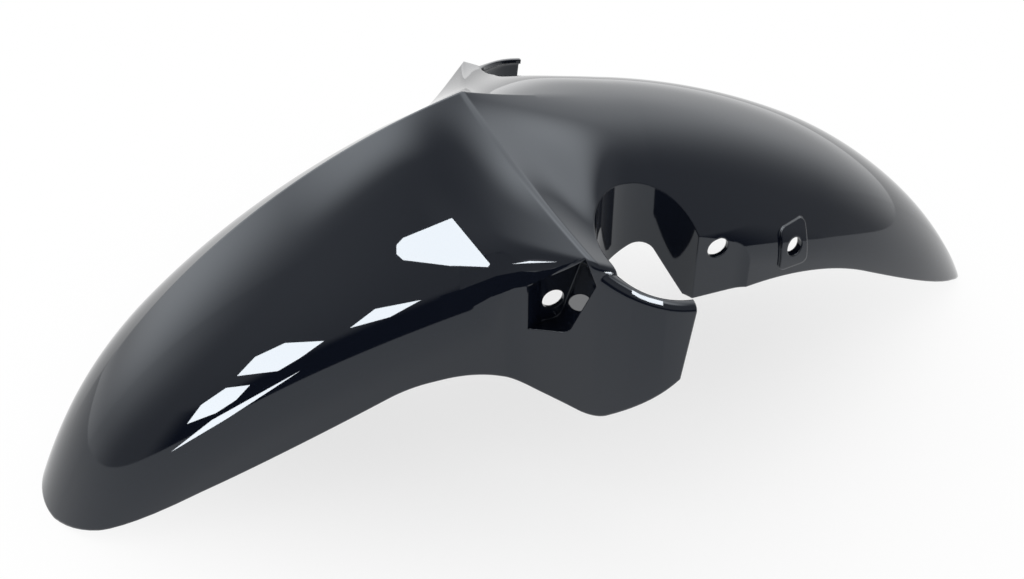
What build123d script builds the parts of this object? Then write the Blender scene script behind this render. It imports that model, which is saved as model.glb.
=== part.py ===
"""Front mudguard of a motorcycle: one moulded shell with two fork wings.

Millimetres. +X points forward, +Y to the rider's left, +Z up. The shell stands on its nose
and its tail, and the origin lies on that ground, midway between the two tips.
"""
from build123d import *
from math import atan, atan2, cos, sin, sqrt, tan
import os

# The wall of the moulding and its plan.
wall = 3.0
nose_x = 320.0
tail_x = -320.0
panel_half_width = 78.0
nose_half_width = 54.0
tail_half_width = 40.0
tail_taper = 1.5
skirt_proud = 6.0

# The crown in side view: one arc from the peak to the nose, one from the saddle to the tail.
peak_x = 49.0
peak_z = 222.0
front_crown_radius = 402.0
saddle_x = -49.0
saddle_drop = 23.0
rear_crown_radius = 415.0

# The arched sections along the crown: the height of each arch and the width of its shoulder.
front_arch_height = 85.0
nose_arch_height = 46.0
rear_arch_height = 83.0
tail_arch_height = 50.0
front_corner = 26.0
nose_corner = 30.0
corner_swell = 60.0
saddle_corner = 12.0
saddle_roof_drop = 37.0
saddle_roof_slope = 1.1
saddle_share = 0.5
rear_corner = 20.0
tail_corner = 32.0

# The V-shaped crease runs back and down from the peak to the hood's corner over each wing.
crease_end_x = 12.0
ridge_slope = 0.64
ridge_share = 0.75
ramp_slope = 0.34
ramp_hold = 0.15
ramp_turn = 0.65
hood_drop = 47.3
hood_slope = 0.32
hood_corner = 5.0
hood_share = 0.14

# Each wing wraps around a fork leg, with a lip at its top and an open rear end.
fork_spacing = 187.0
fork_x = -31.0
fork_hole_diameter = 72.0
lip_width = 6.0
wing_rear_x = -34.0
wing_rear_lean = 18.0
wing_reach = 80.0
wing_lead = 0.8
wing_roof_slope = 0.3
wing_roof_drop = 36.0
lip_drop = 69.0
lip_rise = 0.2
lip_kick = 10.8
lip_corner = 6.0
lip_swell = 9.0
lip_overhang = 0.25

# The wall beside the fork leg, and the flat flange behind it.
well_drop = 81.0
well_slope = 1.9
well_fall = 0.42
well_corner = 12.0
flange_rear_x = -88.0
flange_ramp = 26.0

# Holes on each side: two fork bolts, placed from the fork leg, and a stay screw through a pad.
bolt_hole_diameter = 13.0
front_bolt_ahead = 55.0
front_bolt_drop = 93.5
rear_bolt_behind = 45.5
rear_bolt_drop = 85.0
stay_hole_diameter = 11.0
stay_x = -130.0
stay_drop = 101.0
pad_width = 20.0
pad_height = 27.0
pad_corner = 4.0
pad_raise = 1.5

# A pocket under the hood gives room for the front bolt, measured from the bolt's hole.
pocket_back = 16.0
pocket_heel = 4.0
pocket_knee = 21.5
pocket_floor = 14.0
pocket_rise = 38.0
pocket_brow = 11.0
pocket_brow_slope = 0.78
pocket_ramp = 7.0
pocket_ramp_slope = 0.5
pocket_corner = 6.0
pocket_lean_x = 0.15
pocket_lean_z = 0.3

# The lower edge in side view.
nose_edge_x = 289.0
nose_edge_z = 8.0
skirt_edge_x = 109.0
skirt_edge_z = 86.0
wing_root_x = 72.0
wing_root_z = 87.5
wing_waist_x = 36.0
wing_waist_z = 70.3
wing_tip_x = 10.5
wing_tip_z = 61.8
wing_heel_z = 107.3
flange_z = 103.0
flange_end_x = -150.0
tail_edge_x = -298.0
tail_edge_z = 12.0
tip_flat = 5.0
nose_edge_radius = 60.0
skirt_edge_radius = 70.0
wing_tip_radius = 12.0
flange_edge_radius = 180.0

fork_y = fork_spacing / 2
fork_radius = fork_hole_diameter / 2
wing_half_width = fork_y + fork_radius + lip_width
wing_front_x = fork_x + wing_reach
saddle_z = peak_z - saddle_drop
lip_z = peak_z - lip_drop
well_z = peak_z - well_drop
front_bolt_z = peak_z - front_bolt_drop
rear_bolt_z = peak_z - rear_bolt_drop
stay_z = peak_z - stay_drop
front_bolt_x = fork_x + front_bolt_ahead
rear_bolt_x = fork_x - rear_bolt_behind
overlap = 15.0
high = peak_z + overlap
wide = wing_half_width + overlap


def ease(t):
    """Smooth step from 0 to 1."""
    t = min(1.0, max(0.0, t))
    return t * t * (3 - 2 * t)


def mix(a, b, t):
    return a + (b - a) * t


def mix_all(a, b, t):
    return [mix(p, q, t) for p, q in zip(a, b)]


def steps(first, last, count):
    return [mix(first, last, step / count) for step in range(count + 1)]


def arc_centre(rear, front, radius):
    """Centre, below them, of the circle through two points given as (x, z)."""
    run = front[0] - rear[0]
    rise = front[1] - rear[1]
    chord = sqrt(run * run + rise * rise)
    reach = sqrt(radius * radius - chord * chord / 4) / chord
    return ((rear[0] + front[0]) / 2 + reach * rise, (rear[1] + front[1]) / 2 - reach * run)


front_centre = arc_centre((peak_x, peak_z), (nose_x, 0), front_crown_radius)
rear_centre = arc_centre((tail_x, 0), (saddle_x, saddle_z), rear_crown_radius)
peak_angle = atan2(peak_x - front_centre[0], peak_z - front_centre[1])
nose_angle = atan2(nose_x - front_centre[0], -front_centre[1])
saddle_angle = atan2(saddle_x - rear_centre[0], saddle_z - rear_centre[1])
tail_angle = atan2(tail_x - rear_centre[0], -rear_centre[1])


def fairing(x):
    """How far the skirt has swung out towards the wing at a place along the part."""
    swing = max(0, (wing_front_x - x) / wing_reach)
    return (wing_half_width - panel_half_width) * ease(swing ** wing_lead)


hood_half_width = panel_half_width + fairing(crease_end_x)
crease_sweep = (peak_x - crease_end_x) / hood_half_width
hood = (hood_half_width, hood_corner, ridge_slope, hood_drop, hood_slope)


def blossom(points, parameters):
    """Control point of a curve's own continuation between other ends."""
    for t in parameters:
        points = [mix_all(a, b, t) for a, b in zip(points, points[1:])]
    return points[0]


def section(origin, lean, sweep, shape, inset):
    """Control points of half a cross-section: a roof, a rounded shoulder and an upright skirt.

    The section hangs from its origin on the crown, leans along it and is swept back sideways.
    Its shape gives the half width, the corner's width, the roof's slope at the middle, and the
    roof's drop and slope where the corner starts. Inset moves the outline inward.
    """
    width, corner, top_slope, drop, end_slope = shape
    tilt = atan(end_slope)
    side = width - inset
    roof_y = width - corner - inset * sin(tilt)
    roof_d = drop + inset * cos(tilt)
    top_d = inset * sqrt(1 + top_slope * top_slope)
    corner_d = roof_d + end_slope * (side - roof_y)
    third = roof_y / 3
    roof = [(0, top_d), (third, top_d + top_slope * third),
            (roof_y - third, roof_d - end_slope * third), (roof_y, roof_d)]
    past = -overlap / 2 / roof_y
    roof = [blossom(roof, [past] * (3 - ends) + [1] * ends) for ends in range(4)]
    shoulder = [(side, corner_d), (side, corner_d + corner)]
    points = [(origin[0] - sweep * y - sin(lean) * d, y, origin[1] - cos(lean) * d)
              for y, d in roof + shoulder]
    foot_x, foot_y, foot_z = points[-1]
    return points + [(foot_x, foot_y, min(0, foot_z) - overlap)]


def arch(width, height, corner, top_slope):
    """Shape of a section whose roof follows an ellipse, sharpened by a ridge in the middle."""
    share = (width - corner) / width
    root = sqrt(1 - share * share)
    drop = height * (1 - root) + 0.7 * top_slope * (width - corner)
    end_slope = height / width * share / root + 0.5 * top_slope
    return (width, corner, top_slope, drop, end_slope)


def front_section(share, inset):
    """Section of the front hull: 0 is the crease, 1 the nose, -1 and less lie behind the wing."""
    if share < 0:
        behind = min(1, -share)
        side_x = mix(crease_end_x, wing_rear_x - overlap, -share)
        sweep = crease_sweep * (1 - ease(behind))
        width = panel_half_width + fairing(side_x)
        shape = (width, hood_corner, mix(ridge_slope, wing_roof_slope, behind),
                 mix(hood_drop, wing_roof_drop, ease(behind)), hood_slope)
        return section((side_x + sweep * width, peak_z), 0, sweep, shape, inset)
    angle = mix(peak_angle, nose_angle, share)
    origin = (front_centre[0] + front_crown_radius * sin(angle),
              front_centre[1] + front_crown_radius * cos(angle))
    away = ease(share / hood_share)
    lean = angle * away
    sweep = crease_sweep * (1 - away)
    width = mix(panel_half_width, nose_half_width, share * share)
    corner = mix(front_corner, nose_corner, share) + corner_swell * share * (1 - share)
    height = mix(front_arch_height, nose_arch_height, share * share)
    ridge = ridge_slope * max(0, 1 - (share / ridge_share) ** 2)
    shape = mix_all(hood, arch(width, height, corner, ridge), away)
    shape[0] = hood_half_width
    for settle in range(8):
        shape[0] = width + fairing(origin[0] - sweep * shape[0] - sin(lean) * front_arch_height)
    return section(origin, lean, sweep, shape, inset)


def rear_section(share, inset):
    """Section of the rear hull: -1 is the crease, 0 the saddle and 1 the tail."""
    start = panel_half_width + skirt_proud
    saddle = (start, saddle_corner, 0, saddle_roof_drop, saddle_roof_slope)
    run = peak_x - saddle_x
    if share < -1:
        ahead = run * (-1 - share)
        return section((peak_x + ahead, peak_z + ramp_slope * ahead), 0, crease_sweep, hood, inset)
    if share < 0:
        back = 1 + share
        z = mix(saddle_z, peak_z, ease(-share))
        z += run * share * back * (tan(saddle_angle) * back - ramp_slope * share)
        shape = mix_all(hood, saddle, ease((back - ramp_hold) / ramp_turn))
        shape[2] = ridge_slope * (1 - back) ** 2.5
        origin = (mix(peak_x, saddle_x, back), z)
        return section(origin, saddle_angle * ease(back), -crease_sweep * share, shape, inset)
    angle = mix(saddle_angle, tail_angle, share)
    origin = (rear_centre[0] + rear_crown_radius * sin(angle),
              rear_centre[1] + rear_crown_radius * cos(angle))
    width = mix(start, tail_half_width, share ** tail_taper)
    height = mix(tail_arch_height, rear_arch_height, max(0, 1 - share) ** 3)
    rear = arch(width, height, mix(rear_corner, tail_corner, share), 0)
    shape = mix_all(saddle, rear, ease(share / saddle_share))
    shape[0] = width
    return section(origin, angle, 0, shape, inset)


def lip_section(x, inset):
    """Section of the wing's rounded lip, which climbs towards the hood's corner."""
    share = min(1, max(0, (x - wing_rear_x) / (crease_end_x - wing_rear_x)))
    z = lip_z + lip_rise * (x - wing_rear_x) + lip_kick * share ** 4
    width = panel_half_width + fairing(x) + lip_overhang
    return section((x, z), 0, 0, (width, lip_corner + lip_swell * share ** 3, 0, 0, 0), inset)


def skin(hull_section, stations, inset):
    """Surface of smooth patches through a hull's sections at the given stations."""
    step = 0.0005
    rows = []
    for first, last in zip(stations, stations[1:]):
        row = []
        for share, way in ((first, 1), (last, -1)):
            near = hull_section(share, inset)
            next_to = hull_section(share + step * way, inset)
            reach = (last - first) / 3 / step
            row += [near, [mix_all(p, q, reach) for p, q in zip(near, next_to)]][::way]
        rows.append(row)
    faces = []
    for row in rows:
        for first, last in ((0, 4), (3, 6), (5, 7)):
            faces.append(Face.make_bezier_surface([line[first:last] for line in row]))
    return Shell(faces)


def block(x0, x1, y0, y1, z0, z1):
    return Pos((x0 + x1) / 2, (y0 + y1) / 2, (z0 + z1) / 2) * Box(x1 - x0, y1 - y0, z1 - z0)


def side_prism(outline, y0, y1):
    """A side-view outline of (x, z) points, carried across from one y to another."""
    face = make_face(Polyline(*[(x, y0, z) for x, z in outline], close=True))
    return extrude(face, y1 - y0, dir=(0, 1, 0))


def cut_apart(solid, surface):
    """The pieces that a surface cuts from a block, lowest first."""
    return sorted(solid.split(surface, Keep.BOTH), key=lambda piece: piece.bounding_box().max.Z)


front_stations = [-6] + steps(-1, 0, 4)[:-1] + steps(0, hood_share, 3)[:-1] + steps(hood_share, 1.12, 4)
rear_stations = [-1.6] + steps(-1, 0, 5)[:-1] + steps(0, 1.12, 3)
lip_stations = steps(wing_rear_x - 2 * overlap, crease_end_x, 5) + [wing_front_x, peak_x + 3 * overlap]


def body(inset):
    """The left half as a massive body, every outer face moved inward by the inset."""
    whole = block(tail_x - overlap, nose_x + overlap, -overlap / 3, wide, -overlap / 3, high)
    hull = cut_apart(whole, skin(front_section, front_stations, inset))[0]
    behind = block(tail_x - 2 * overlap, peak_x + overlap, -overlap / 2.5, wide + overlap,
                   -overlap / 2, high + overlap)
    above = cut_apart(behind, skin(rear_section, rear_stations, inset))[-1]
    wing_rear = wing_rear_x - inset
    wing_front = peak_x + 2 * overlap
    wing = side_prism([(wing_rear, lip_z), (wing_rear + wing_rear_lean, -overlap),
                       (wing_front, -overlap), (wing_front, high), (wing_rear, high)],
                      -overlap / 2.2, wide + 2 * overlap)
    wing = cut_apart(wing, skin(lip_section, lip_stations, inset))[0]
    flange_y = panel_half_width - inset
    ramp_x = flange_rear_x - flange_ramp
    ramp_y = flange_y + skirt_proud
    ramp_middle = flange_rear_x - flange_ramp / 2
    flange = [Polyline((ramp_x, ramp_y), (ramp_x, wide), (wing_rear, wide), (wing_rear, flange_y),
                       (flange_rear_x, flange_y)),
              Bezier((flange_rear_x, flange_y), (ramp_middle, flange_y),
                     (ramp_middle, ramp_y), (ramp_x, ramp_y))]
    flange_gap = Pos(0, 0, -overlap) * extrude(make_face(flange), high + overlap, dir=(0, 0, 1))
    return hull - (above - wing) - flange_gap


def pocket(grown):
    """The pocket for the front bolt, cut inward to the panel, with its walls when grown."""
    y = panel_half_width - grown
    rear_x = front_bolt_x - pocket_back
    knee_z = front_bolt_z + pocket_knee
    heel_x = front_bolt_x - pocket_heel
    front_x = wing_front_x + overlap
    floor_z = front_bolt_z - pocket_floor
    top_z = front_bolt_z + pocket_rise
    top_x = front_bolt_x - pocket_brow
    brow_z = top_z - pocket_brow_slope * (front_x - top_x)
    face = make_face(Polyline((top_x, y, top_z), (rear_x, y, knee_z), (heel_x, y, floor_z),
                              (front_x, y, floor_z), (front_x, y, brow_z), close=True))
    heel = face.vertices().sort_by_distance((heel_x, y, floor_z))[0]
    face = fillet(heel, pocket_corner)
    if grown:
        face = offset(face, grown)
    room = extrude(face, wide - panel_half_width, dir=(pocket_lean_x, 1, pocket_lean_z))
    ramp_x = front_bolt_x + pocket_ramp
    ramp_y = panel_half_width - grown * sqrt(1 + pocket_ramp_slope ** 2)
    far_x = nose_x
    plan = Polyline((ramp_x, ramp_y), (far_x, ramp_y + pocket_ramp_slope * (far_x - ramp_x)),
                    (far_x, 0), (ramp_x, 0), close=True)
    return room - extrude(make_face(plan), high, dir=(0, 0, 1))


def fork_tube(radius, z0):
    tube = Cylinder(radius, high - z0, align=(Align.CENTER, Align.CENTER, Align.MIN))
    return Pos(fork_x, fork_y, z0) * tube


def well_walls():
    """The wall around the fork leg on the wheel's side, and the panel from there to the pocket."""
    tube = fork_tube(fork_radius + wall, 0) & block(tail_x, nose_x, 0, panel_half_width, 0, high)
    panel = block(fork_x, front_bolt_x, panel_half_width - wall, panel_half_width, 0, high)
    low_x = fork_x - fork_radius
    low_z = well_z - fork_radius * well_slope * 0.75
    top = (fork_x - fork_radius / 4, 0, well_z)
    fall_x = front_bolt_x + overlap
    trim = make_face(Polyline((low_x - overlap, 0, low_z - overlap * well_slope), top,
                              (fall_x, 0, well_z - well_fall * (fall_x - top[0])),
                              (fall_x, 0, high), (low_x - overlap, 0, high), close=True))
    trim = fillet(trim.vertices().sort_by_distance(top)[0], well_corner)
    return (tube + panel) & extrude(trim, wide, dir=(0, 1, 0))


def lower_edge():
    """What lies above the lower edge, from the tail's tip to the nose."""
    points = [(tail_x - overlap, 0), (tail_x + tip_flat, 0), (tail_edge_x, tail_edge_z),
              (flange_end_x, flange_z), (wing_rear_x, flange_z), (wing_rear_x, wing_heel_z),
              (wing_tip_x, wing_tip_z), (wing_waist_x, wing_waist_z), (wing_root_x, wing_root_z),
              (skirt_edge_x, skirt_edge_z), (nose_edge_x, nose_edge_z), (nose_x - tip_flat, 0),
              (nose_x + overlap, 0),
              (nose_x + overlap, high), (tail_x - overlap, high)]
    face = make_face(Polyline(*[(x, 0, z) for x, z in points], close=True))
    for index, radius in ((2, nose_edge_radius), (3, flange_edge_radius), (6, wing_tip_radius),
                          (7, skirt_edge_radius), (8, skirt_edge_radius), (9, skirt_edge_radius),
                          (10, nose_edge_radius)):
        x, z = points[index]
        face = fillet(face.vertices().sort_by_distance((x, 0, z))[0], radius)
    return Pos(0, -overlap, 0) * extrude(face, wide + overlap, dir=(0, 1, 0))


def cross_hole(x, y, z, diameter, depth):
    """A hole across the wall whose outer face lies at y, as deep as stated."""
    return Pos(x, y + wall - depth / 2, z) * Rot(90, 0, 0) * Cylinder(diameter / 2, depth)


stay_angle = atan2(stay_x - rear_centre[0], stay_z - rear_centre[1])
stay_y = rear_section((stay_angle - saddle_angle) / (tail_angle - saddle_angle), 0)[-1][1]


def stay_pad():
    """A raised pad around the stay's hole, from inside the wall to a face that follows the skin."""
    face = Plane.XZ * RectangleRounded(pad_width, pad_height, pad_corner)
    stud = Pos(stay_x, stay_y - overlap, stay_z) * extrude(face, 2 * overlap, dir=(0, 1, 0))
    outside = skin(rear_section, rear_stations, -pad_raise)
    raised = min(stud.split(outside, Keep.BOTH), key=lambda piece: piece.center().Y)
    inside = skin(rear_section, rear_stations, wall / 2)
    return max(raised.split(inside, Keep.BOTH), key=lambda piece: piece.center().Y)


hollow = body(wall) - well_walls() - pocket(wall)
half = (body(0) - hollow + stay_pad() - fork_tube(fork_radius, 0) - pocket(0)) & lower_edge()
half -= cross_hole(front_bolt_x, panel_half_width, front_bolt_z, bolt_hole_diameter, 3 * wall)
half -= cross_hole(rear_bolt_x, panel_half_width, rear_bolt_z, bolt_hole_diameter, 3 * wall)
half -= cross_hole(stay_x, stay_y, stay_z, stay_hole_diameter, 2 * overlap)
left = half.split(Plane.XZ, Keep.BOTTOM)
front_mudguard = left + mirror(left, Plane.XZ)

os.makedirs("parts", exist_ok=True)
export_step(front_mudguard, "parts/front_mudguard.step")
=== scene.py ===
from math import atan, atan2, cos, pi, radians, sin, sqrt, tan

import bmesh
import bpy
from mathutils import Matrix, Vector
from mathutils.interpolate import poly_3d_calc


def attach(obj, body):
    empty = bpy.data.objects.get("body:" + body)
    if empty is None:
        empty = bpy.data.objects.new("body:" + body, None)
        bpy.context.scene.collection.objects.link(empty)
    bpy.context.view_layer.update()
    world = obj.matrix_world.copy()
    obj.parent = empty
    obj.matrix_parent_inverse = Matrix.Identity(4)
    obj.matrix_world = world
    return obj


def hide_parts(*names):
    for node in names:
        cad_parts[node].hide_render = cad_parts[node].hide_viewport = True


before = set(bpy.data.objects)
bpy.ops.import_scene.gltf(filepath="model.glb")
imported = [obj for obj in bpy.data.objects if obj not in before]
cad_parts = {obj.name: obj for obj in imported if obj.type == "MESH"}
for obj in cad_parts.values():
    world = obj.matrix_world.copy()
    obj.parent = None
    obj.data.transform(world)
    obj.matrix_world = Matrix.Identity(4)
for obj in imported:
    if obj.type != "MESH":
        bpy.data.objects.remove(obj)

# The crown: the line along the top of the shell, which is one injection-moulded skin of plastic. It is
# two arcs, from the nose back to the peak and from the saddle to the tail. Sizes are millimetres.
nose_x = 320
tail_x = -320
peak_x = 49
peak_z = 222
saddle_x = -49
saddle_z = 199
front_crown_radius = 402
rear_crown_radius = 415


def arc_centre(rear, front, radius):
    """Centre, below them, of the circle through two points given as (x, z)."""
    run = front[0] - rear[0]
    rise = front[1] - rear[1]
    chord = sqrt(run * run + rise * rise)
    reach = sqrt(radius * radius - chord * chord / 4) / chord
    return ((rear[0] + front[0]) / 2 + reach * rise, (rear[1] + front[1]) / 2 - reach * run)


front_centre = arc_centre((peak_x, peak_z), (nose_x, 0), front_crown_radius)
rear_centre = arc_centre((tail_x, 0), (saddle_x, saddle_z), rear_crown_radius)
peak_angle = atan2(peak_x - front_centre[0], peak_z - front_centre[1])
nose_angle = atan2(nose_x - front_centre[0], -front_centre[1])
saddle_angle = atan2(saddle_x - rear_centre[0], saddle_z - rear_centre[1])
tail_angle = atan2(tail_x - rear_centre[0], -rear_centre[1])

# The front hull: the arched skin from the nose to the V-shaped crease, with a ridge along its middle
# that fades towards the nose, and skirts that swing out into a wing beside each fork leg.
overlap = 15
panel_half_width = 78
nose_half_width = 54
fork_x = -31
fork_y = 93.5
fork_radius = 36
lip_width = 6
wing_half_width = fork_y + fork_radius + lip_width
wing_reach = 80
wing_front_x = fork_x + wing_reach
wing_lead = 0.8
wing_rear_x = -34
wing_roof_slope = 0.3
wing_roof_drop = 36
crease_end_x = 12
ridge_slope = 0.64
ridge_share = 0.75
ridge_drop = 0.7
ridge_end = 0.5
hood_corner = 5
hood_drop = 47.3
hood_slope = 0.32
hood_share = 0.14
front_corner = 26
nose_corner = 30
corner_swell = 60
front_arch_height = 85
nose_arch_height = 46


def ease(t):
    """Smooth step from 0 to 1."""
    t = min(1.0, max(0.0, t))
    return t * t * (3 - 2 * t)


def mix(a, b, t):
    return a + (b - a) * t


def mix_all(a, b, t):
    return [mix(p, q, t) for p, q in zip(a, b)]


def fairing(x):
    """How far the skirt has swung out towards the wing at a place along the part."""
    swing = max(0, (wing_front_x - x) / wing_reach)
    return (wing_half_width - panel_half_width) * ease(swing ** wing_lead)


hood_half_width = panel_half_width + fairing(crease_end_x)
crease_sweep = (peak_x - crease_end_x) / hood_half_width
hood = (hood_half_width, hood_corner, ridge_slope, hood_drop, hood_slope)


def section(origin, lean, sweep, shape, inset):
    """Control points of half a section: four of the roof, then two more of the shoulder.

    The section hangs from its origin on the crown, leans along it and is swept back sideways.
    Its shape gives the half width, the corner's width, the roof's slope at the middle, and the
    roof's drop and slope where the corner starts. Inset moves the outline inward.
    """
    width, corner, top_slope, drop, end_slope = shape
    tilt = atan(end_slope)
    side = width - inset
    roof_y = width - corner - inset * sin(tilt)
    roof_d = drop + inset * cos(tilt)
    top_d = inset * sqrt(1 + top_slope * top_slope)
    corner_d = roof_d + end_slope * (side - roof_y)
    third = roof_y / 3
    roof = [(0, top_d), (third, top_d + top_slope * third),
            (roof_y - third, roof_d - end_slope * third), (roof_y, roof_d)]
    shoulder = [(side, corner_d), (side, corner_d + corner)]
    return [(origin[0] - sweep * y - sin(lean) * d, y, origin[1] - cos(lean) * d)
            for y, d in roof + shoulder]


def arch(width, height, corner, top_slope):
    """Shape of a section whose roof follows an ellipse, sharpened by a ridge in the middle."""
    share = (width - corner) / width
    root = sqrt(1 - share * share)
    drop = height * (1 - root) + ridge_drop * top_slope * (width - corner)
    end_slope = height / width * share / root + ridge_end * top_slope
    return (width, corner, top_slope, drop, end_slope)


def front_section(share, inset):
    """Section of the front hull: 0 is the crease, 1 the nose, -1 and less lie behind the wing."""
    if share < 0:
        behind = min(1, -share)
        side_x = mix(crease_end_x, wing_rear_x - overlap, -share)
        sweep = crease_sweep * (1 - ease(behind))
        width = panel_half_width + fairing(side_x)
        shape = (width, hood_corner, mix(ridge_slope, wing_roof_slope, behind),
                 mix(hood_drop, wing_roof_drop, ease(behind)), hood_slope)
        return section((side_x + sweep * width, peak_z), 0, sweep, shape, inset)
    angle = mix(peak_angle, nose_angle, share)
    origin = (front_centre[0] + front_crown_radius * sin(angle),
              front_centre[1] + front_crown_radius * cos(angle))
    away = ease(share / hood_share)
    lean = angle * away
    sweep = crease_sweep * (1 - away)
    width = mix(panel_half_width, nose_half_width, share * share)
    corner = mix(front_corner, nose_corner, share) + corner_swell * share * (1 - share)
    height = mix(front_arch_height, nose_arch_height, share * share)
    ridge = ridge_slope * max(0, 1 - (share / ridge_share) ** 2)
    shape = mix_all(hood, arch(width, height, corner, ridge), away)
    shape[0] = hood_half_width
    for settle in range(8):
        shape[0] = width + fairing(origin[0] - sweep * shape[0] - sin(lean) * front_arch_height)
    return section(origin, lean, sweep, shape, inset)


# The rear hull: the lower saddle behind the crease and the arched skin that narrows to the tail. It is
# moulded in one with the front hull, and its skirts stand a little proud of the bolt panels.
skirt_proud = 6
saddle_half_width = panel_half_width + skirt_proud
saddle_corner = 12
saddle_roof_drop = 37
saddle_roof_slope = 1.1
saddle_share = 0.5
ramp_slope = 0.34
ramp_hold = 0.15
ramp_turn = 0.65
ramp_ridge_fade = 2.5
tail_half_width = 40
tail_taper = 1.5
rear_corner = 20
tail_corner = 32
rear_arch_height = 83
tail_arch_height = 50
saddle = (saddle_half_width, saddle_corner, 0, saddle_roof_drop, saddle_roof_slope)


def rear_section(share, inset):
    """Section of the rear hull: -1 is the crease, 0 the saddle and 1 the tail."""
    run = peak_x - saddle_x
    if share < -1:
        ahead = run * (-1 - share)
        return section((peak_x + ahead, peak_z + ramp_slope * ahead), 0, crease_sweep, hood, inset)
    if share < 0:
        back = 1 + share
        z = mix(saddle_z, peak_z, ease(-share))
        z += run * share * back * (tan(saddle_angle) * back - ramp_slope * share)
        shape = mix_all(hood, saddle, ease((back - ramp_hold) / ramp_turn))
        shape[2] = ridge_slope * (1 - back) ** ramp_ridge_fade
        origin = (mix(peak_x, saddle_x, back), z)
        return section(origin, saddle_angle * ease(back), -crease_sweep * share, shape, inset)
    angle = mix(saddle_angle, tail_angle, share)
    origin = (rear_centre[0] + rear_crown_radius * sin(angle),
              rear_centre[1] + rear_crown_radius * cos(angle))
    width = mix(saddle_half_width, tail_half_width, share ** tail_taper)
    height = mix(tail_arch_height, rear_arch_height, max(0, 1 - share) ** 3)
    rear = arch(width, height, mix(rear_corner, tail_corner, share), 0)
    shape = mix_all(saddle, rear, ease(share / saddle_share))
    shape[0] = width
    return section(origin, angle, 0, shape, inset)


# The wing's lip: the rounded top edge of the wing, which passes outside the fork leg and climbs
# forward to the hood's corner. It is part of the same skin of plastic.
lip_z = 153
lip_rise = 0.2
lip_kick = 10.8
lip_corner = 6
lip_swell = 9
lip_overhang = 0.25


def lip_section(x, inset):
    share = min(1, max(0, (x - wing_rear_x) / (crease_end_x - wing_rear_x)))
    z = lip_z + lip_rise * (x - wing_rear_x) + lip_kick * share ** 4
    width = panel_half_width + lip_overhang + fairing(x)
    return section((x, z), 0, 0, (width, lip_corner + lip_swell * share ** 3, 0, 0, 0), inset)


# The left half as a massive body under the three skins. It reaches a little past the middle and far
# below the lower edge, and is cut back at the flat flange that carries the rear bolt.
past_middle = 6
far_out = 170
far_up = 240
far_down = -120
wing_rear_lean = 18
flange_rear_x = -88
flange_ramp = 26


def steps(first, last, count):
    return [mix(first, last, step / count) for step in range(count + 1)]


def bezier(points, t):
    while len(points) > 1:
        points = [mix_all(a, b, t) for a, b in zip(points, points[1:])]
    return points[0]


def closed_mesh(name, points, faces):
    """A mesh in metres from points in millimetres, its faces turned outwards."""
    mesh = bpy.data.meshes.new(name)
    mesh.from_pydata([[v / 1000 for v in point] for point in points], [], faces)
    work = bmesh.new()
    work.from_mesh(mesh)
    bmesh.ops.recalc_face_normals(work, faces=work.faces)
    work.to_mesh(mesh)
    work.free()
    thing = bpy.data.objects.new(name, mesh)
    bpy.context.scene.collection.objects.link(thing)
    return thing


def prism(name, outline, way):
    """An outline of points carried along a vector."""
    count = len(outline)
    points = list(outline) + [[p + w for p, w in zip(point, way)] for point in outline]
    faces = [list(range(count)), list(range(2 * count - 1, count - 1, -1))]
    for i in range(count):
        j = (i + 1) % count
        faces.append([j, i, i + count, j + count])
    return closed_mesh(name, points, faces)


def box(name, x0, x1, y0, y1, z0, z1):
    return prism(name, [(x0, y0, z0), (x1, y0, z0), (x1, y1, z0), (x0, y1, z0)], (0, 0, z1 - z0))


def carve(thing, tool, operation):
    """Cuts a closed mesh with another one, which is used up."""
    modifier = thing.modifiers.new("carve", "BOOLEAN")
    modifier.object = tool
    modifier.operation = operation
    modifier.solver = "MANIFOLD"
    graph = bpy.context.evaluated_depsgraph_get()
    mesh = bpy.data.meshes.new_from_object(thing.evaluated_get(graph))
    thing.modifiers.clear()
    thing.data = mesh
    bpy.data.objects.remove(tool)


def below(name, hull_section, stations, pieces, inset):
    """The closed space below a hull's skin, from a little past the middle to its skirt."""
    nudge = 0.0005
    rows = []
    for first, last, count in zip(stations, stations[1:], pieces):
        patch = []
        for share, way in ((first, 1), (last, -1)):
            near = hull_section(share, inset)
            beside = hull_section(share + nudge * way, inset)
            reach = (last - first) / 3 / nudge
            patch += [near, [mix_all(p, q, reach) for p, q in zip(near, beside)]][::way]
        for step in range(count):
            rows.append([bezier([row[k] for row in patch], step / count) for k in range(6)])
    rows.append(hull_section(stations[-1], inset))
    points = []
    for control in rows:
        roof = control[:4]
        shoulder = control[3:6]
        line = [bezier(roof, -past_middle / roof[3][1])]
        line += [bezier(roof, t) for t in steps(0, 1, 30)]
        line += [bezier(shoulder, t) for t in steps(0, 1, 12)[1:]]
        foot_x, foot_y, foot_z = line[-1]
        line += [(foot_x, foot_y, far_down), (foot_x, -past_middle, far_down)]
        points += line
    across = len(points) // len(rows)
    faces = [list(range(across)), list(range(len(points) - across, len(points)))[::-1]]
    for i in range(len(rows) - 1):
        for j in range(across):
            k = (j + 1) % across
            faces.append([i * across + j, i * across + k, (i + 1) * across + k, (i + 1) * across + j])
    return closed_mesh(name, points, faces)


tail_stations = steps(0, 1.12, 3)
rear_stations = [-1.6] + steps(-1, 0, 5)[:-1] + tail_stations
front_stations = [-6] + steps(-1, 0, 4)[:-1] + steps(0, hood_share, 3)[:-1] + steps(hood_share, 1.12, 4)
lip_stations = steps(wing_rear_x - 2 * overlap, crease_end_x, 5) + [wing_front_x, peak_x + 3 * overlap]


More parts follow.
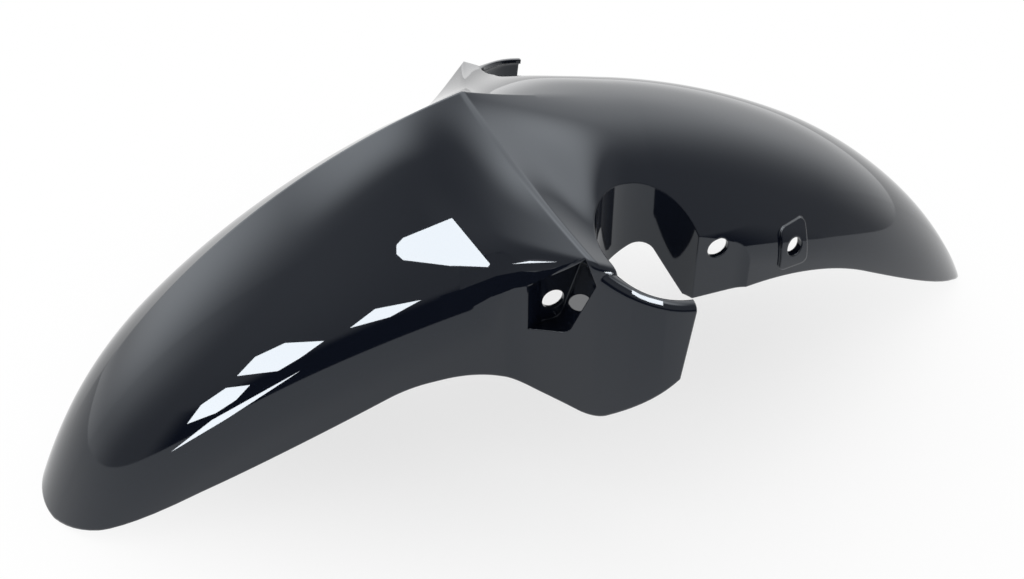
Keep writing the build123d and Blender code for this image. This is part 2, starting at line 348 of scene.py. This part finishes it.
def body(name, inset):
    """The left half as a massive body, every outer face moved inward by the inset."""
    hull = below(name, front_section, front_stations, [2] + [7] * 4 + [8] * 3 + [36] * 4, inset)
    behind = box("behind", tail_x - 2 * overlap, peak_x + overlap, 0.5 - past_middle, far_out - 5, -40,
                 far_up + 10)
    rear = below("rear", rear_section, rear_stations, [3] + [9] * 5 + [46] * 3, inset)
    carve(behind, rear, "DIFFERENCE")
    rear_x = wing_rear_x - inset
    front_x = peak_x + 2 * overlap
    side = [(rear_x, lip_z), (rear_x + wing_rear_lean, -overlap), (front_x, -overlap), (front_x, far_up),
            (rear_x, far_up)]
    wing = prism("wing", [(x, 0.2 - past_middle, z) for x, z in side], (0, 190, 0))
    carve(wing, below("lip", lip_section, lip_stations, [7] * 5 + [10, 4], inset), "INTERSECT")
    carve(behind, wing, "DIFFERENCE")
    carve(hull, behind, "DIFFERENCE")
    flange_y = panel_half_width - inset
    ramp_x = flange_rear_x - flange_ramp
    ramp_y = flange_y + skirt_proud
    middle_x = flange_rear_x - flange_ramp / 2
    ramp_line = [(flange_rear_x, flange_y), (middle_x, flange_y), (middle_x, ramp_y), (ramp_x, ramp_y)]
    plan = [(rear_x, flange_y)] + [bezier(ramp_line, t) for t in steps(0, 1, 12)]
    plan += [(ramp_x, far_out), (rear_x, far_out)]
    carve(hull, prism("flange", [(x, y, -60) for x, y in plan], (0, 0, 320)), "DIFFERENCE")
    return hull


# The pocket under the hood: it gives the front bolt and a spanner room, in front of the flat panel
# that the bolt goes through. Its walls are as thick as the rest of the skin.
front_bolt_x = 24
front_bolt_z = 128.5
pocket_back = 16
pocket_heel = 4
pocket_knee = 21.5
pocket_floor = 14
pocket_rise = 38
pocket_brow = 11
pocket_brow_slope = 0.78
pocket_ramp = 7
pocket_ramp_slope = 0.5
pocket_corner = 6
pocket_lean_x = 0.15
pocket_lean_z = 0.3


def rounded(points, radii, pieces=10):
    """A flat outline of pairs with some of its corners rounded."""
    result = []
    for index, corner in enumerate(points):
        radius = radii.get(index, 0)
        if not radius:
            result.append(corner)
            continue
        here = Vector(corner)
        back = (Vector(points[index - 1]) - here).normalized()
        ahead = (Vector(points[(index + 1) % len(points)]) - here).normalized()
        half = back.angle(ahead) / 2
        reach = radius / tan(half)
        centre = here + (back + ahead).normalized() * (radius / sin(half))
        first = here + back * reach - centre
        last = here + ahead * reach - centre
        for step in range(pieces + 1):
            arm = first.lerp(last, step / pieces).normalized() * radius
            result.append(tuple(centre + arm))
    return result


def widened(outline, distance):
    """A flat outline of pairs moved outward."""
    result = []
    for i, corner in enumerate(outline):
        here = Vector(corner)
        first = (here - Vector(outline[i - 1])).normalized()
        last = (Vector(outline[(i + 1) % len(outline)]) - here).normalized()
        edge_normal = Vector((-first.y, first.x))
        normal = (edge_normal + Vector((-last.y, last.x))).normalized()
        result.append(tuple(here - normal * distance / max(0.5, normal.dot(edge_normal))))
    return result


def pocket(name, grown):
    """The pocket, or the space of its walls when it is grown."""
    front_x = wing_front_x + overlap
    top_x = front_bolt_x - pocket_brow
    top_z = front_bolt_z + pocket_rise
    floor_z = front_bolt_z - pocket_floor
    outline = rounded([(top_x, top_z), (front_bolt_x - pocket_back, front_bolt_z + pocket_knee),
                       (front_bolt_x - pocket_heel, floor_z), (front_x, floor_z),
                       (front_x, top_z - pocket_brow_slope * (front_x - top_x))], {2: pocket_corner})
    if grown:
        outline = widened(outline, grown)
    depth = wing_half_width + overlap - panel_half_width
    room = prism(name, [(x, panel_half_width - grown, z) for x, z in outline],
                 (pocket_lean_x * depth, depth, pocket_lean_z * depth))
    ramp_x = front_bolt_x + pocket_ramp
    ramp_y = panel_half_width - grown * sqrt(1 + pocket_ramp_slope ** 2)
    far_y = ramp_y + pocket_ramp_slope * (nose_x - ramp_x)
    plan = [(ramp_x, ramp_y, 0), (nose_x, far_y, 0), (nose_x, 0, 0), (ramp_x, 0, 0)]
    carve(room, prism("ramp", plan, (0, 0, far_up)), "DIFFERENCE")
    return room


# The skin: the massive body less a smaller one inside it. The curved wall beside the fork leg, the
# bolt panel and the pocket's walls stay in the hollow, moulded in one with the skin.
wall = 3
well_z = 141
well_slope = 1.9
well_fall = 0.42
well_corner = 12


def tube(name, radius, z0):
    """A round space along the fork leg."""
    ring = []
    for k in range(160):
        turn = 2 * pi * k / 160
        ring.append((fork_x + radius * cos(turn), fork_y + radius * sin(turn), z0))
    return prism(name, ring, (0, 0, far_up - z0))


shell = body("mudguard_shell", 0)
hollow = body("hollow", wall)
well = tube("well", fork_radius + wall, 5)
carve(well, box("beside", -90, 30, 1, panel_half_width, 1, far_up + 5), "INTERSECT")
panel = box("panel", fork_x, front_bolt_x, panel_half_width - wall, panel_half_width, 6, far_up - 2)
carve(well, panel, "UNION")
trim_x = fork_x - fork_radius - overlap
trim_z = well_z - well_slope * (0.75 * fork_radius + overlap)
trim_top_x = fork_x - fork_radius / 4
trim_front_x = front_bolt_x + overlap
trim_front_z = well_z - well_fall * (trim_front_x - trim_top_x)
trim = rounded([(trim_x, trim_z), (trim_top_x, well_z), (trim_front_x, trim_front_z),
                (trim_front_x, far_up + 7), (trim_x, far_up + 7)], {1: well_corner})
carve(well, prism("trim", [(x, -1, z) for x, z in trim], (0, 160, 0)), "INTERSECT")
carve(hollow, well, "DIFFERENCE")
carve(hollow, pocket("pocket_walls", wall), "DIFFERENCE")
carve(shell, hollow, "DIFFERENCE")

# The raised pad around the stay's hole: a thicker place of the same moulding that follows the skin.
# A stay that steadies the tail can be screwed on here.
stay_x = -130
stay_z = 121
pad_width = 20
pad_height = 27
pad_corner = 4
pad_raise = 1.5
stay_angle = atan2(stay_x - rear_centre[0], stay_z - rear_centre[1])
stay_y = rear_section((stay_angle - saddle_angle) / (tail_angle - saddle_angle), 0)[-1][1]
pad_rear_x = stay_x - pad_width / 2
pad_front_x = stay_x + pad_width / 2
pad_low_z = stay_z - pad_height / 2
pad_high_z = stay_z + pad_height / 2
pad_plan = rounded([(pad_rear_x, pad_low_z), (pad_front_x, pad_low_z), (pad_front_x, pad_high_z),
                    (pad_rear_x, pad_high_z)], dict.fromkeys(range(4), pad_corner))
pad = prism("pad", [(x, stay_y - overlap, z) for x, z in pad_plan], (0, 2 * overlap, 0))
carve(pad, below("pad_skin", rear_section, tail_stations, [60] * 3, -pad_raise), "INTERSECT")
carve(pad, below("pad_back", rear_section, tail_stations, [60] * 3, wall / 2), "DIFFERENCE")
carve(shell, pad, "UNION")

# The openings: the round fork passage, the bolt pocket, the lower edge and three bare holes on each
# side. The edge runs from the tail along the flange, the wing's tip and the skirt to the nose.
tip_flat = 5
tail_edge = (-298, 12)
flange_z = 103
flange_end_x = -150
wing_heel_z = 107.3
wing_tip = (10.5, 61.8)
wing_waist = (36, 70.3)
wing_root = (72, 87.5)
skirt_edge = (109, 86)
nose_edge = (289, 8)
end_radius = 60
flange_radius = 180
wing_tip_radius = 12
skirt_radius = 70
bolt_hole_radius = 6.5
stay_hole_radius = 5.5
rear_bolt_x = -76.5
rear_bolt_z = 137


def cross_hole(x, y, z, radius, depth):
    """A hole across the wall whose outer face lies at y, as deep as stated."""
    ring = []
    for k in range(64):
        turn = 2 * pi * k / 64
        ring.append((x + radius * cos(turn), y + wall - depth, z + radius * sin(turn)))
    return prism("hole", ring, (0, depth, 0))


carve(shell, tube("fork", fork_radius, -10), "DIFFERENCE")
carve(shell, pocket("pocket", 0), "DIFFERENCE")
edge_top = peak_z + overlap
edge = rounded([(tail_x - overlap, 0), (tail_x + tip_flat, 0), tail_edge, (flange_end_x, flange_z),
                (wing_rear_x, flange_z), (wing_rear_x, wing_heel_z), wing_tip, wing_waist, wing_root,
                skirt_edge, nose_edge, (nose_x - tip_flat, 0), (nose_x + overlap, 0),
                (nose_x + overlap, edge_top), (tail_x - overlap, edge_top)],
               {2: end_radius, 3: flange_radius, 6: wing_tip_radius, 7: skirt_radius, 8: skirt_radius,
                9: skirt_radius, 10: end_radius}, 24)
carve(shell, prism("edge", [(x, -overlap, z) for x, z in edge], (0, 180, 0)), "INTERSECT")
for bolt_x, bolt_z in ((front_bolt_x, front_bolt_z), (rear_bolt_x, rear_bolt_z)):
    bolt_hole = cross_hole(bolt_x, panel_half_width, bolt_z, bolt_hole_radius, 3 * wall)
    carve(shell, bolt_hole, "DIFFERENCE")
carve(shell, cross_hole(stay_x, stay_y, stay_z, stay_hole_radius, 2 * overlap), "DIFFERENCE")

# The right half mirrors the left one, and the two are joined along the middle. Edges are shaded
# sharp, apart from the crease, which is softly rounded on the real moulding.
sharp_angle = radians(14)
crease_width = 0.001
crease_low_z = 0.17
carve(shell, box("right", -360, 360, -60, 0, -60, 300), "DIFFERENCE")
work = bmesh.new()
work.from_mesh(shell.data)
inner = [face for face in work.faces if all(abs(v.co.y) < 1e-6 for v in face.verts)]
bmesh.ops.delete(work, geom=inner, context="FACES")
copy = bmesh.ops.duplicate(work, geom=work.verts[:] + work.edges[:] + work.faces[:])["geom"]
for item in copy:
    if isinstance(item, bmesh.types.BMVert):
        item.co.y = -item.co.y
bmesh.ops.reverse_faces(work, faces=[item for item in copy if isinstance(item, bmesh.types.BMFace)])
bmesh.ops.remove_doubles(work, verts=[v for v in work.verts if abs(v.co.y) < 1e-6], dist=2e-6)
bmesh.ops.triangulate(work, faces=[face for face in work.faces if len(face.verts) > 4])
for face in work.faces:
    face.smooth = True
for seam in work.edges:
    middle = (seam.verts[0].co + seam.verts[1].co) / 2
    from_crease = abs(middle.x + crease_sweep * abs(middle.y) - peak_x / 1000)
    crease = from_crease < crease_width and middle.z > crease_low_z
    sharp = len(seam.link_faces) == 2 and seam.calc_face_angle(0) > sharp_angle
    seam.smooth = crease or not sharp
work.to_mesh(shell.data)
work.free()
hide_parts("front_mudguard")
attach(shell, "root")

# Gloss black plastic, moulded in one colour: a clear hard surface over a black body. The cold tint of
# its body and of its reflections is painted in for the cool cast of the light.
# The mould leaves every edge a little round.
black = bpy.data.materials.new("gloss_black_plastic")
black.use_nodes = True
shader = black.node_tree.nodes["Principled BSDF"]
# A cool cast of the light, painted into the body's colour and the tint of its reflections.
shader.inputs["Base Color"].default_value = (0.004, 0.0055, 0.0105, 1)
shader.inputs["Roughness"].default_value = 0.05
shader.inputs["IOR"].default_value = 1.5
shader.inputs["Specular Tint"].default_value = (0.88, 0.94, 1, 1)
soft = black.node_tree.nodes.new("ShaderNodeBevel")
soft.samples = 8
soft.inputs["Radius"].default_value = 0.0014
black.node_tree.links.new(soft.outputs["Normal"], shader.inputs["Normal"])
shell.data.materials.clear()
shell.data.materials.append(black)

# The floor: a round white sheet that keeps the part's soft shadow and fades into white further out.
sheet_radius = 0.95
fade_start = 0.1
fade_end = 0.42
centre_share = 0.68


def ramp(tree, value, low, high, first, last):
    """A value carried smoothly from one range to another."""
    node = tree.nodes.new("ShaderNodeMapRange")
    node.interpolation_type = "SMOOTHSTEP"
    tree.links.new(value, node.inputs["Value"])
    for name, number in (("From Min", low), ("From Max", high), ("To Min", first), ("To Max", last)):
        node.inputs[name].default_value = number
    return node.outputs["Result"]


def reckon(tree, operation, first, second):
    """Two values put together by an operation."""
    node = tree.nodes.new("ShaderNodeMath")
    node.operation = operation
    tree.links.new(first, node.inputs[0])
    tree.links.new(second, node.inputs[1])
    return node.outputs["Value"]


bpy.ops.mesh.primitive_circle_add(vertices=96, radius=sheet_radius, fill_type="NGON",
                                  location=(0, 0, -0.0005))
floor = bpy.context.object
floor.name = "floor"
paper = bpy.data.materials.new("white_sheet")
paper.use_nodes = True
tree = paper.node_tree
sheet = tree.nodes["Principled BSDF"]
sheet.inputs["Base Color"].default_value = (0.9, 0.9, 0.9, 1)
sheet.inputs["Roughness"].default_value = 0.9
glow = tree.nodes.new("ShaderNodeEmission")
place = tree.nodes.new("ShaderNodeTexCoord")
reach = tree.nodes.new("ShaderNodeVectorMath")
reach.operation = "LENGTH"
tree.links.new(place.outputs["Object"], reach.inputs[0])
path = tree.nodes.new("ShaderNodeLightPath")
looked = reckon(tree, "MAXIMUM", path.outputs["Is Camera Ray"], path.outputs["Is Glossy Ray"])
fade = ramp(tree, reach.outputs["Value"], fade_start, fade_end, centre_share, 1)
fade = reckon(tree, "MULTIPLY", fade, looked)
blend = tree.nodes.new("ShaderNodeMixShader")
tree.links.new(fade, blend.inputs["Fac"])
tree.links.new(sheet.outputs["BSDF"], blend.inputs[1])
tree.links.new(glow.outputs["Emission"], blend.inputs[2])
tree.links.new(blend.outputs["Shader"], tree.nodes["Material Output"].inputs["Surface"])
floor.data.materials.append(paper)

# The studio in the gloss: bright behind the part, overhead and over its nose, dim on the camera's
# side, with a dark gap above the edge of the sheet. The camera itself sees white.
plain_strength = 0.9
world = bpy.data.worlds.new("studio")
bpy.context.scene.world = world
world.use_nodes = True
tree = world.node_tree
way = tree.nodes.new("ShaderNodeSeparateXYZ")
tree.links.new(tree.nodes.new("ShaderNodeTexCoord").outputs["Generated"], way.inputs["Vector"])
x, y, z = way.outputs["X"], way.outputs["Y"], way.outputs["Z"]
back_wall = reckon(tree, "MULTIPLY", ramp(tree, y, -0.5, 0.1, 0.6, 0), ramp(tree, z, 0, 0.4, 0, 1))
around = reckon(tree, "ADD", back_wall, ramp(tree, y, -0.5, 0.25, 1.6, 0.45))
overhead = reckon(tree, "MULTIPLY", ramp(tree, z, 0.75, 0.92, 0, 1), ramp(tree, y, 0.16, 0.34, 3, 0))
ahead = reckon(tree, "MULTIPLY", ramp(tree, y, -0.35, 0.45, 3.6, 0.2), ramp(tree, x, 0, 0.6, 0, 1))
ahead = reckon(tree, "MULTIPLY", ahead, ramp(tree, z, 0, 0.75, 0, 1))
gap = reckon(tree, "MAXIMUM", ramp(tree, z, 0.13, 0.22, 0.02, 1), ramp(tree, y, 0.5, 0.72, 1, 0))
mirrored = reckon(tree, "ADD", reckon(tree, "ADD", around, overhead), ahead)
mirrored = reckon(tree, "MULTIPLY", mirrored, gap)
path = tree.nodes.new("ShaderNodeLightPath")
seen = tree.nodes["Background"]
tree.links.new(mirrored, seen.inputs["Strength"])
plain = tree.nodes.new("ShaderNodeBackground")
plain.inputs["Strength"].default_value = plain_strength
backdrop = tree.nodes.new("ShaderNodeBackground")
for node in (seen, plain, backdrop):
    node.inputs["Color"].default_value = (1, 1, 1, 1)
gloss = tree.nodes.new("ShaderNodeMixShader")
tree.links.new(path.outputs["Is Glossy Ray"], gloss.inputs["Fac"])
tree.links.new(plain.outputs["Background"], gloss.inputs[1])
tree.links.new(seen.outputs["Background"], gloss.inputs[2])
eye = tree.nodes.new("ShaderNodeMixShader")
tree.links.new(path.outputs["Is Camera Ray"], eye.inputs["Fac"])
tree.links.new(gloss.outputs["Shader"], eye.inputs[1])
tree.links.new(backdrop.outputs["Background"], eye.inputs[2])
tree.links.new(eye.outputs["Shader"], tree.nodes["World Output"].inputs["Surface"])

# A large soft lamp behind and above the part throws its pale shadow towards the camera.
bpy.ops.object.light_add(type="AREA", location=(0.3, -0.9, 1.5))
lamp = bpy.context.object
lamp.data.energy = 7
lamp.data.size = 1.4
lamp.rotation_euler = (Vector((0, 0, 0.1)) - lamp.location).to_track_quat("-Z", "Y").to_euler()

# The camera stands where the photograph's camera stood.
picture_width = 1024
picture_height = 579
focal_pixels = 1300.24
yaw = radians(20.107)
pitch = radians(40.568)
camera = bpy.data.objects.new("camera", bpy.data.cameras.new("camera"))
bpy.context.scene.collection.objects.link(camera)
camera.location = (0.23186, 0.57957, 0.59995)
look = Vector((-sin(yaw) * cos(pitch), -cos(yaw) * cos(pitch), -sin(pitch)))
camera.rotation_euler = look.to_track_quat("-Z", "Y").to_euler()
camera.data.sensor_width = 36
camera.data.lens = camera.data.sensor_width * focal_pixels / picture_width
bpy.context.scene.camera = camera
bpy.context.scene.view_settings.view_transform = "Standard"

# Painted highlights and painted shade, which only the gloss shows: glowing sheets and two dark sheets
# close to the skin, hung where the camera's rays go after they meet it, paint bright patches and dark
# bands into the reflections. Each has a top and a foot line in pixels of the picture.
flank_glint = (((396.5, 245), (403, 238), (452, 218), (490, 264)),
               ((396.5, 254), (403, 260), (448, 265.5), (488, 267)))
middle_glint = (((350, 328), (375, 309), (421, 300)),
                ((350, 328), (390, 317), (421, 300)))
front_glint = (((237, 376), (255, 357), (285, 343), (324, 341)),
               ((237, 376), (278, 371), (300, 358), (324, 341)))
nose_glint = (((187, 424), (201, 405), (226, 388), (250, 385)),
              ((187, 424), (216, 413), (236, 400), (250, 385)))
low_glint = (((171, 452), (212, 420), (300, 371)),
             ((171, 452), (228, 418), (300, 371)))
hood_glint = (((512, 264), (530, 261), (558, 262)),
              ((512, 264), (530, 263), (558, 262)))
lip_glint = (((632, 290), (640, 294.5), (650, 298), (663, 301.5)),
             ((632, 293.5), (640, 298.3), (650, 302.3), (663, 305.5)))
shoulder_shade = (((440, 296), (462, 289), (496, 275.5), (516, 271), (535, 272), (554, 268.5), (583, 257.5)),
                  ((440, 320), (462, 313), (491, 297), (516, 288), (537, 285), (549, 277), (583, 257.5)))
flank_shade = (((460, 262), (484, 258), (492, 253), (505, 254), (520, 261.5), (545, 261.5), (574, 260.5)),
               ((460, 290), (482, 281.5), (496, 276), (506, 274), (520, 271.5), (545, 270.5), (574, 262)))
glint_distance = 0.008
flank_distance = 0.009
shoulder_distance = 0.01
long_steps = 24
cross_steps = 4


def glance(pixel, distance):
    """The place at a distance from the shell on the ray that the camera's ray turns into there."""
    right = look.cross((0, 0, 1)).normalized()
    up = right.cross(look)
    across = (pixel[0] - picture_width / 2) / focal_pixels
    rise = (picture_height / 2 - pixel[1]) / focal_pixels
    ray = (look + right * across + up * rise).normalized()
    cast = shell.ray_cast(camera.location, ray)
    spot = cast[1]
    face = shell.data.polygons[cast[3]]
    shares = poly_3d_calc([shell.data.vertices[k].co for k in face.vertices], spot)
    normal = Vector((0, 0, 0))
    for corner, share in zip(face.loop_indices, shares):
        normal += shell.data.corner_normals[corner].vector * share
    return spot + ray.reflect(normal.normalized()) * distance


def along(line, share):
    """A place on a line of points, each stretch taking the same share."""
    reach = share * (len(line) - 1)
    stretch = min(int(reach), len(line) - 2)
    return mix_all(line[stretch], line[stretch + 1], reach - stretch)


def painted_reflection_material(name, strength):
    """A sheet's glowing material, which paints a highlight into the gloss, or painted shade when its
    strength is low.
    """
    material = bpy.data.materials.new(name)
    material.use_nodes = True
    material.node_tree.nodes.clear()
    light = material.node_tree.nodes.new("ShaderNodeEmission")
    light.inputs["Strength"].default_value = strength
    output = material.node_tree.nodes.new("ShaderNodeOutputMaterial")
    material.node_tree.links.new(light.outputs["Emission"], output.inputs["Surface"])
    return material


def hang(lines, material, distance):
    """A sheet of painted reflection between a top and a foot line, which only glossy rays meet."""
    top, foot = lines
    points = []
    for share in steps(0, 1, long_steps):
        for depth in steps(0, 1, cross_steps):
            points.append(glance(mix_all(along(top, share), along(foot, share), depth), distance))
    row = cross_steps + 1
    faces = []
    for i in range(long_steps):
        for k in range(i * row, i * row + cross_steps):
            faces.append((k, k + 1, k + row + 1, k + row))
    mesh = bpy.data.meshes.new("painted_reflection_sheet")
    mesh.from_pydata(points, [], faces)
    mesh.materials.append(material)
    painted_reflection_sheet = bpy.data.objects.new("painted_reflection_sheet", mesh)
    bpy.context.scene.collection.objects.link(painted_reflection_sheet)
    painted_reflection_sheet.visible_camera = False
    painted_reflection_sheet.visible_diffuse = False
    painted_reflection_sheet.visible_shadow = False


bpy.context.view_layer.update()
# Painted highlights: bright glowing sheets whose reflections stand in for daylight windows.
painted_highlight = painted_reflection_material("painted_highlight", 24)
for lines in (flank_glint, middle_glint, front_glint, nose_glint, low_glint, hood_glint, lip_glint):
    hang(lines, painted_highlight, glint_distance)
# Painted shade: a black and a grey sheet darken the reflections along the shoulder and the flank.
hang(shoulder_shade, painted_reflection_material("painted_shade_black", 0.02), shoulder_distance)
hang(flank_shade, painted_reflection_material("painted_shade_grey", 0.42), flank_distance)
